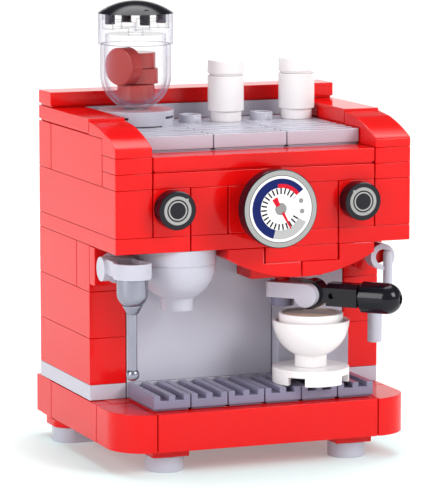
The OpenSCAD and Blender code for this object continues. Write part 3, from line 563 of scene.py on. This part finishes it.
def tone_the_bricks(bm):
    """Gives every separate brick its own value in the attribute that the plastics read."""
    layer = bm.verts.layers.float.new("tone")
    seen = set()
    for start in bm.verts:
        if start in seen:
            continue
        brick = [start]
        seen.add(start)
        for vert in brick:
            for edge in vert.link_edges:
                other = edge.other_vert(vert)
                if other not in seen:
                    seen.add(other)
                    brick.append(other)
        centre = sum((vert.co for vert in brick), Vector()) / len(brick)
        value = brick_tone(centre)
        for vert in brick:
            vert[layer] = value


def round_the_edges(bm, width, steps, crease):
    """Rounds the outward edges by the given width, or by what fits on the piece."""
    proud = [
        edge for edge in bm.edges
        if len(edge.link_faces) == 2 and edge.calc_face_angle_signed(0) > crease
    ]
    if proud:
        bmesh.ops.bevel(
            bm, geom=proud, offset=width, offset_type="OFFSET", segments=steps, profile=0.5,
            affect="EDGES", clamp_overlap=True,
        )


def show_mesh(name, bm, material, crease):
    """Turns a finished bmesh into an object at the origin with even shading."""
    mesh = bpy.data.meshes.new(name)
    bm.to_mesh(mesh)
    bm.free()
    mesh.materials.append(material)
    mesh.shade_smooth()
    mesh.set_sharp_from_angle(angle=crease)
    piece = bpy.data.objects.new(name, mesh)
    bpy.context.scene.collection.objects.link(piece)
    even = piece.modifiers.new("even_faces", "WEIGHTED_NORMAL")
    even.keep_sharp = True
    even.weight = NORMAL_WEIGHT
    return piece


def body_with(node):
    """The body that a CAD node belongs to."""
    return body_of(NODES[node])[0]


def finish_node(context, node):
    """Replaces one CAD node by a copy with rounded edges and its own finish."""
    edges = context.scene.coffee_edges
    bm = bmesh.new()
    bm.from_mesh(NODES[node].data)
    bmesh.ops.remove_doubles(bm, verts=bm.verts, dist=WELD)
    bmesh.ops.dissolve_limit(bm, angle_limit=FLAT_ANGLE, verts=bm.verts, edges=bm.edges)
    tone_the_bricks(bm)
    round_the_edges(bm, edges.edge_round, edges.edge_steps, edges.crease)
    slot = SLOTS[node]
    piece = show_mesh(node + "_finished", bm, finish_for(context, slot), edges.crease)
    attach(piece, body_with(node))
    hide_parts(node)
    return piece


def geometry_tree(name, sizes):
    """A geometry node group with named inputs. sizes gives each input's name and socket type."""
    tree = bpy.data.node_groups.new(name, "GeometryNodeTree")
    tree.interface.new_socket("Geometry", in_out="OUTPUT", socket_type="NodeSocketGeometry")
    for label, kind in sizes:
        tree.interface.new_socket(label, in_out="INPUT", socket_type="NodeSocket" + kind)
    bench = Bench(tree)
    entry = tree.nodes.new("NodeGroupInput")
    wires = {label: Wire(bench, entry.outputs[label]) for label, _ in sizes}
    return tree, bench, wires


def close_tree(bench, geometry, material):
    """Ends a tree in real geometry with its material."""
    real = bench.add("GeometryNodeRealizeInstances", {}, {"Geometry": geometry})
    dressed = bench.add(
        "GeometryNodeSetMaterial", {}, {"Geometry": real, "Material": material}
    )
    exit_node = bench.tree.nodes.new("NodeGroupOutput")
    bench.tree.links.new(dressed.socket, exit_node.inputs[0])


def grow(name, tree, values):
    """Evaluates a tree with the given inputs and gives its result as a bmesh."""
    host = bpy.data.objects.new(name, bpy.data.meshes.new(name))
    bpy.context.scene.collection.objects.link(host)
    modifier = host.modifiers.new("grow", "NODES")
    modifier.node_group = tree
    for item in tree.interface.items_tree:
        if item.in_out == "INPUT":
            modifier[item.identifier] = values[item.name]
    graph = bpy.context.evaluated_depsgraph_get()
    result = bpy.data.meshes.new_from_object(host.evaluated_get(graph))
    host.modifiers.remove(modifier)
    bm = bmesh.new()
    bm.from_mesh(result)
    bpy.data.objects.remove(host, do_unlink=True)
    bpy.data.meshes.remove(result)
    bmesh.ops.remove_doubles(bm, verts=bm.verts, dist=WELD)
    # Where a ring closes on itself its two ends meet inside the film, and go.
    inner = [
        face for face in bm.faces
        if sum(len(edge.link_faces) > 2 for edge in face.edges) >= len(face.edges) - 1
    ]
    bmesh.ops.delete(bm, geom=inner, context="FACES_ONLY")
    bmesh.ops.recalc_face_normals(bm, faces=bm.faces)
    return bm


# ----------------------------------------------------------- printed dials


def arc_print_tree():
    """A flat arc or ring of ink, its angle clockwise from the top as seen from the front."""
    tree, bench, size = geometry_tree(
        "printed_arc",
        (
            ("Inner Radius", "Float"), ("Outer Radius", "Float"), ("Start", "Float"),
            ("Sweep", "Float"), ("Steps", "Int"), ("Thickness", "Float"), ("Ink", "Material"),
        ),
    )
    sheet = bench.add(
        "GeometryNodeMeshGrid", {},
        {"Size X": 1.0, "Size Y": 1.0, "Vertices X": size["Steps"] + 1, "Vertices Y": 2},
    )
    where = bench.add("GeometryNodeInputPosition")
    along = bench.add("ShaderNodeSeparateXYZ", {}, {0: where}, output=0) + 0.5
    across = bench.add("ShaderNodeSeparateXYZ", {}, {0: where}, output=1) + 0.5
    radius = size["Inner Radius"] + across * (size["Outer Radius"] - size["Inner Radius"])
    angle = size["Start"] + along * size["Sweep"]
    bent = bench.add(
        "ShaderNodeCombineXYZ", {}, {0: radius * angle.sine(), 2: radius * angle.cosine()}
    )
    arc = bench.add("GeometryNodeSetPosition", {}, {"Geometry": sheet, "Position": bent})
    lift = bench.add("ShaderNodeCombineXYZ", {}, {1: size["Thickness"] * -1.0})
    raised = bench.add(
        "GeometryNodeExtrudeMesh", {"mode": "FACES"},
        {"Mesh": arc, "Offset": lift, "Offset Scale": 1.0, "Individual": False},
    )
    back = bench.add("GeometryNodeFlipFaces", {}, {"Mesh": arc})
    both = bench.add("GeometryNodeJoinGeometry", {}, {"Geometry": [raised, back]})
    close_tree(bench, both, size["Ink"])
    return tree


def tick_print_tree():
    """Short radial bars of ink, all at one radius and one step apart."""
    tree, bench, size = geometry_tree(
        "printed_ticks",
        (
            ("Count", "Int"), ("Radius", "Float"), ("Start", "Float"), ("Step", "Float"),
            ("Length", "Float"), ("Width", "Float"), ("Thickness", "Float"),
            ("Ink", "Material"),
        ),
    )
    number = bench.add("GeometryNodeInputIndex")
    angle = size["Start"] + number * size["Step"]
    where = bench.add(
        "ShaderNodeCombineXYZ", {},
        {
            0: size["Radius"] * angle.sine(),
            1: size["Thickness"] * -0.5,
            2: size["Radius"] * angle.cosine(),
        },
    )
    spots = bench.add(
        "GeometryNodePoints", {}, {"Count": size["Count"], "Position": where}
    )
    bar_size = bench.add(
        "ShaderNodeCombineXYZ", {}, {0: size["Width"], 1: size["Thickness"], 2: size["Length"]}
    )
    bar = bench.add("GeometryNodeMeshCube", {}, {"Size": bar_size})
    lean = bench.add("ShaderNodeCombineXYZ", {}, {1: angle})
    turn = bench.add("FunctionNodeEulerToRotation", {}, {0: lean})
    bars = bench.add(
        "GeometryNodeInstanceOnPoints", {},
        {"Points": spots, "Instance": bar, "Rotation": turn},
    )
    close_tree(bench, bars, size["Ink"])
    return tree


def place_print(context, name, bm, centre, body, tone):
    """Moves a print from the middle of a dial to its place and lets it ride on the dial's body."""
    bmesh.ops.translate(bm, verts=bm.verts, vec=centre)
    piece = show_mesh(name, bm, ink_for(context, tone), PRINT_CREASE)
    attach(piece, body)
    return piece


def print_arc(context, name, spot, tone, inner, outer, start=0.0, sweep=360.0, film=0.02):
    """One arc of ink on a dial. Radii and film are in millimetres, angles in degrees."""
    tree = bpy.data.node_groups.get("printed_arc") or arc_print_tree()
    bm = grow(
        name, tree,
        {
            "Inner Radius": inner * MM, "Outer Radius": outer * MM,
            "Start": math.radians(start), "Sweep": math.radians(sweep),
            "Steps": max(8, int(abs(sweep) / 4)), "Thickness": film * MM,
            "Ink": ink_for(context, tone),
        },
    )
    return place_print(context, name, bm, spot[0], spot[1], tone)


def print_ticks(context, name, spot, count, radius, start, step, length, width, film):
    """A row of black ticks round a dial."""
    tree = bpy.data.node_groups.get("printed_ticks") or tick_print_tree()
    bm = grow(
        name, tree,
        {
            "Count": count, "Radius": radius * MM, "Start": math.radians(start),
            "Step": math.radians(step), "Length": length * MM, "Width": width * MM,
            "Thickness": film * MM, "Ink": ink_for(context, "black"),
        },
    )
    return place_print(context, name, bm, spot[0], spot[1], "black")


def print_outline(context, name, spot, tone, points, film):
    """A straight-sided patch of ink. Points are (right, up) in millimetres from the middle."""
    bm = bmesh.new()
    front = [bm.verts.new((x * MM, -film * MM, z * MM)) for x, z in points]
    back = [bm.verts.new((x * MM, 0.0, z * MM)) for x, z in points]
    bm.faces.new(front)
    bm.faces.new(back[::-1])
    for k in range(len(points)):
        after = (k + 1) % len(points)
        bm.faces.new((front[k], back[k], back[after], front[after]))
    bmesh.ops.recalc_face_normals(bm, faces=bm.faces)
    return place_print(context, name, bm, spot[0], spot[1], tone)


def polar(radius, degrees):
    """(right, up) of a point on a dial, its angle clockwise from the top."""
    angle = math.radians(degrees)
    return radius * math.sin(angle), radius * math.cos(angle)


def dial_spot(node):
    """Middle of a dial's front face, and the body that it rides on."""
    low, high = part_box(node)
    centre = Vector(((low.x + high.x) / 2, low.y, (low.z + high.z) / 2))
    return centre, body_with(node)


# ---------------------------------------------------------------- operators


class COFFEE_OT_base(bpy.types.Operator):
    """Finish the feet, the brackets, the red tiles round the base and the grey sill"""

    bl_idname = "coffee.base"
    bl_label = "Base"

    def execute(self, context):
        for node in BASE_NODES:
            finish_node(context, node)
        return {"FINISHED"}


class COFFEE_OT_drip_tray(bpy.types.Operator):
    """Finish the dark grille tiles of the drip tray"""

    bl_idname = "coffee.drip_tray"
    bl_label = "Drip Tray"

    def execute(self, context):
        finish_node(context, "drip_tray_tiles")
        return {"FINISHED"}


class COFFEE_OT_column(bpy.types.Operator):
    """Finish the pillars, the rear wall and the grey wall panels"""

    bl_idname = "coffee.column"
    bl_label = "Pillars and Walls"

    def execute(self, context):
        for node in COLUMN_NODES:
            finish_node(context, node)
        return {"FINISHED"}


class COFFEE_OT_housing(bpy.types.Operator):
    """Finish the red bricks, slopes and tiles of the upper housing"""

    bl_idname = "coffee.housing"
    bl_label = "Housing"

    def execute(self, context):
        for node in HOUSING_NODES:
            finish_node(context, node)
        return {"FINISHED"}


class COFFEE_OT_deck(bpy.types.Operator):
    """Finish the grey deck with its grille tiles and studs"""

    bl_idname = "coffee.deck"
    bl_label = "Cup Deck"

    def execute(self, context):
        for node in DECK_NODES:
            finish_node(context, node)
        finish_node(context, "deck_grille_tiles")
        return {"FINISHED"}


class COFFEE_OT_group_head(bpy.types.Operator):
    """Finish the group head, its curved underside and the grinder bowl"""

    bl_idname = "coffee.group_head"
    bl_label = "Group Head"

    def execute(self, context):
        for node in GROUP_NODES:
            finish_node(context, node)
        return {"FINISHED"}


class COFFEE_OT_gauge(bpy.types.Operator):
    """Finish the pressure gauge and print its face"""

    bl_idname = "coffee.gauge"
    bl_label = "Gauge"

    def execute(self, context):
        finish_node(context, "gauge_stand_block")
        finish_node(context, "gauge_dial")
        low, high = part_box("gauge_dial")
        full = (high.x - low.x) / 2 / MM
        spot = dial_spot("gauge_dial")
        for name, tone, inner, outer, start, sweep, film in GAUGE_ARCS:
            print_arc(context, name, spot, tone, inner * full, outer * full, start, sweep, film)
        for name, count, radius, start, step, length, width in GAUGE_TICKS:
            print_ticks(
                context, name, spot, count, radius * full, start, step, length * full,
                width * full, TICK_FILM,
            )
        for name, corners in GAUGE_OUTLINES:
            points = [(x * full, z * full) for x, z in corners]
            print_outline(context, name, spot, "red", points, POINTER_FILM)
        for number, (x, z) in enumerate(GAUGE_DOTS):
            dot_spot = (spot[0] + Vector((x, 0, z)) * full * MM, spot[1])
            print_arc(
                context, "gauge_dot_%d" % (number + 1), dot_spot, "hub", 0.0, DOT_RADIUS * full,
                film=DOT_FILM,
            )
        return {"FINISHED"}


class COFFEE_OT_knobs(bpy.types.Operator):
    """Finish the two black knobs and print their rings and marks"""

    bl_idname = "coffee.knobs"
    bl_label = "Knobs"

    def execute(self, context):
        for node, mark in KNOB_MARKS:
            finish_node(context, node)
            spot = dial_spot(node)
            for ring, inner, outer in KNOB_RINGS:
                print_arc(context, node + ring, spot, "silver", inner, outer)
            points = [
                polar(MARK_FOOT, mark - MARK_HALF),
                polar(MARK_TIP, mark),
                polar(MARK_FOOT, mark + MARK_HALF),
            ]
            print_outline(context, node + "_mark", spot, "silver", points, MARK_FILM)
        return {"FINISHED"}


class COFFEE_OT_steam_wand(bpy.types.Operator):
    """Finish the steam wand and what holds it"""

    bl_idname = "coffee.steam_wand"
    bl_label = "Steam Wand"

    def execute(self, context):
        for node in WAND_NODES:
            finish_node(context, node)
        return {"FINISHED"}


class COFFEE_OT_water_tap(bpy.types.Operator):
    """Finish the hot water tap and its mount"""

    bl_idname = "coffee.water_tap"
    bl_label = "Water Tap"

    def execute(self, context):
        for node in TAP_NODES:
            finish_node(context, node)
        return {"FINISHED"}


class COFFEE_OT_portafilter(bpy.types.Operator):
    """Finish the portafilter's arm, spout and handle"""

    bl_idname = "coffee.portafilter"
    bl_label = "Portafilter"

    def execute(self, context):
        for node in FILTER_NODES:
            finish_node(context, node)
        return {"FINISHED"}


class COFFEE_OT_cups(bpy.types.Operator):
    """Finish the coffee cup on its saucer and the two small cups on the deck"""

    bl_idname = "coffee.cups"
    bl_label = "Cups"

    def execute(self, context):
        for node in CUP_NODES:
            finish_node(context, node)
        return {"FINISHED"}


class COFFEE_OT_hopper(bpy.types.Operator):
    """Finish the clear hopper, its lid and the loose beans"""

    bl_idname = "coffee.hopper"
    bl_label = "Hopper"

    def execute(self, context):
        for node in HOPPER_NODES:
            finish_node(context, node)
        return {"FINISHED"}


class COFFEE_OT_stage(bpy.types.Operator):
    """Set the floor, the soft boxes and the camera"""

    bl_idname = "coffee.stage"
    bl_label = "Stage"

    def execute(self, context):
        studio = context.scene.coffee_studio
        lay_floor(studio)
        light_room(context, studio)
        aim_camera(context, studio)
        return {"FINISHED"}


def lay_floor(studio):
    """A wide pale floor, faintly uneven in tone, painted cooler under the object to cancel the red
    light bounced off the bricks.
    """
    material, bench, place = new_material("studio_floor")
    cloud = bench.noise(place, CLOUD_SPACING, 2.0)
    tone = studio.floor_tone
    pale = bench.blend(cloud * 0.04, opaque([tone] * 3), opaque([tone * 0.9] * 3))
    reach = bench.add("ShaderNodeVectorMath", {"operation": "LENGTH"}, {0: place}, output=1)
    # Painted cool colour near the object: it cancels the pink that light bounced off the red
    # bricks gives the floor.
    under = bench.add(
        "ShaderNodeMapRange", {"interpolation_type": "SMOOTHSTEP"},
        {0: reach, 1: PAINTED_COUNTER_BOUNCE_REACH[0], 2: PAINTED_COUNTER_BOUNCE_REACH[1], 3: 1.0, 4: 0.0},
    )
    base = bench.blend(under, pale, opaque([tone * share for share in PAINTED_COUNTER_BOUNCE_TINT]))
    shader = bench.add(
        "ShaderNodeBsdfPrincipled", {},
        {
            "Base Color": base, "Roughness": 0.6, "Specular IOR Level": 0.2,
            "Emission Color": (1, 1, 1, 1), "Emission Strength": studio.floor_glow,
        },
    )
    bench.add("ShaderNodeOutputMaterial", {}, {"Surface": shader})
    bm = bmesh.new()
    bmesh.ops.create_grid(bm, x_segments=2, y_segments=2, size=studio.floor_width / 2)
    mesh = bpy.data.meshes.new("studio_floor")
    bm.to_mesh(mesh)
    bm.free()
    mesh.materials.append(material)
    floor = bpy.data.objects.new("studio_floor", mesh)
    bpy.context.scene.collection.objects.link(floor)


def soft_box(name, place, aim, width, height, brightness):
    """A flat rectangular light. Its power follows from its size and how bright its face is."""
    lamp = bpy.data.lights.new(name, "AREA")
    lamp.shape = "RECTANGLE"
    lamp.size = width
    lamp.size_y = height
    lamp.energy = brightness * math.pi * width * height
    box = bpy.data.objects.new(name, lamp)
    box.location = place
    box.rotation_euler = (Vector(aim) - Vector(place)).to_track_quat("-Z", "Y").to_euler()
    bpy.context.scene.collection.objects.link(box)


def light_room(context, studio):
    """Light from all round, bright low behind and in a box high behind, and two soft boxes."""
    world = bpy.data.worlds.new("studio_air")
    world.use_nodes = True
    world.node_tree.nodes.clear()
    bench = Bench(world.node_tree)
    heading = bench.add("ShaderNodeTexCoord", output="Generated")
    depth = bench.add("ShaderNodeSeparateXYZ", {}, {0: heading}, output=1)
    height = bench.add("ShaderNodeSeparateXYZ", {}, {0: heading}, output=2)
    behind = bench.add(
        "ShaderNodeMapRange", {"interpolation_type": "SMOOTHSTEP"},
        {0: depth, 1: FRONT_TO_BACK[0], 2: FRONT_TO_BACK[1]},
    )
    low = bench.add(
        "ShaderNodeMapRange", {"interpolation_type": "SMOOTHSTEP"},
        {0: height, 1: LOW_AIR[0], 2: LOW_AIR[1], 3: studio.air_behind, 4: UPPER_AIR},
    )
    nearness = bench.add(
        "ShaderNodeVectorMath", {"operation": "DOT_PRODUCT"}, {0: heading, 1: HIGH_BOX}, output=1
    )
    above = bench.add(
        "ShaderNodeMapRange", {"interpolation_type": "SMOOTHSTEP"},
        {0: nearness, 1: HIGH_BOX_EDGE[0], 2: HIGH_BOX_EDGE[1], 3: 0.0, 4: studio.air_above},
    )
    strength = low * behind + (1 - behind) * studio.air_before + above
    air = bench.add("ShaderNodeBackground", {}, {"Color": (1, 1, 1, 1), "Strength": strength})
    bench.add("ShaderNodeOutputWorld", {}, {"Surface": air})
    context.scene.world = world
    context.scene.view_settings.view_transform = "Standard"
    for name, place, width, height in SOFT_BOXES:
        soft_box(name, place, BOX_AIM, width, height, getattr(studio, name))


def aim_camera(context, studio):
    """The camera, level, from the front left."""
    lens = bpy.data.cameras.new("studio_camera")
    lens.lens = studio.lens
    lens.sensor_width = SENSOR_WIDTH
    lens.clip_start = VIEW_NEAR
    lens.clip_end = VIEW_FAR
    camera = bpy.data.objects.new("studio_camera", lens)
    flat = math.cos(studio.elevation)
    gaze = Vector(
        (
            -math.sin(studio.azimuth) * flat,
            math.cos(studio.azimuth) * flat,
            -math.sin(studio.elevation),
        )
    )
    camera.location = studio.camera_place
    camera.rotation_euler = gaze.to_track_quat("-Z", "Y").to_euler()
    context.scene.collection.objects.link(camera)
    context.scene.camera = camera


STEPS = (
    COFFEE_OT_base, COFFEE_OT_drip_tray, COFFEE_OT_column, COFFEE_OT_housing, COFFEE_OT_deck,
    COFFEE_OT_group_head, COFFEE_OT_gauge, COFFEE_OT_knobs, COFFEE_OT_steam_wand,
    COFFEE_OT_water_tap, COFFEE_OT_portafilter, COFFEE_OT_cups, COFFEE_OT_hopper,
    COFFEE_OT_stage,
)
SETTINGS = (
    ("coffee_edges", CoffeeEdges),
    ("coffee_colours", CoffeeColours),
    ("coffee_surface", CoffeeSurface),
    ("coffee_studio", CoffeeStudio),
)


class COFFEE_PT_workshop(bpy.types.Panel):
    """Lists the settings and the steps in the sidebar"""

    bl_idname = "COFFEE_PT_workshop"
    bl_label = "Toy Coffee Maker"
    bl_space_type = "VIEW_3D"
    bl_region_type = "UI"
    bl_category = "Coffee Maker"

    def draw(self, context):
        layout = self.layout
        for name, group in SETTINGS:
            box = layout.box()
            box.label(text=group.__name__)
            for setting in group.__annotations__:
                box.prop(getattr(context.scene, name), setting)
        for step in STEPS:
            layout.operator(step.bl_idname)


def register():
    """Adds the settings, the steps and the panel."""
    for name, group in SETTINGS:
        bpy.utils.register_class(group)
        setattr(bpy.types.Scene, name, PointerProperty(type=group))
    for step in (*STEPS, COFFEE_PT_workshop):
        bpy.utils.register_class(step)


def unregister():
    """Takes them away again, last one first."""
    for step in (COFFEE_PT_workshop, *reversed(STEPS)):
        bpy.utils.unregister_class(step)
    for name, group in reversed(SETTINGS):
        delattr(bpy.types.Scene, name)
        bpy.utils.unregister_class(group)


def main():
    """Registers the add-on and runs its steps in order."""
    register()
    for step in STEPS:
        group, name = step.bl_idname.split(".")
        if getattr(getattr(bpy.ops, group), name)() != {"FINISHED"}:
            raise RuntimeError(step.bl_label + " did not finish")


if __name__ == "__main__":
    main()
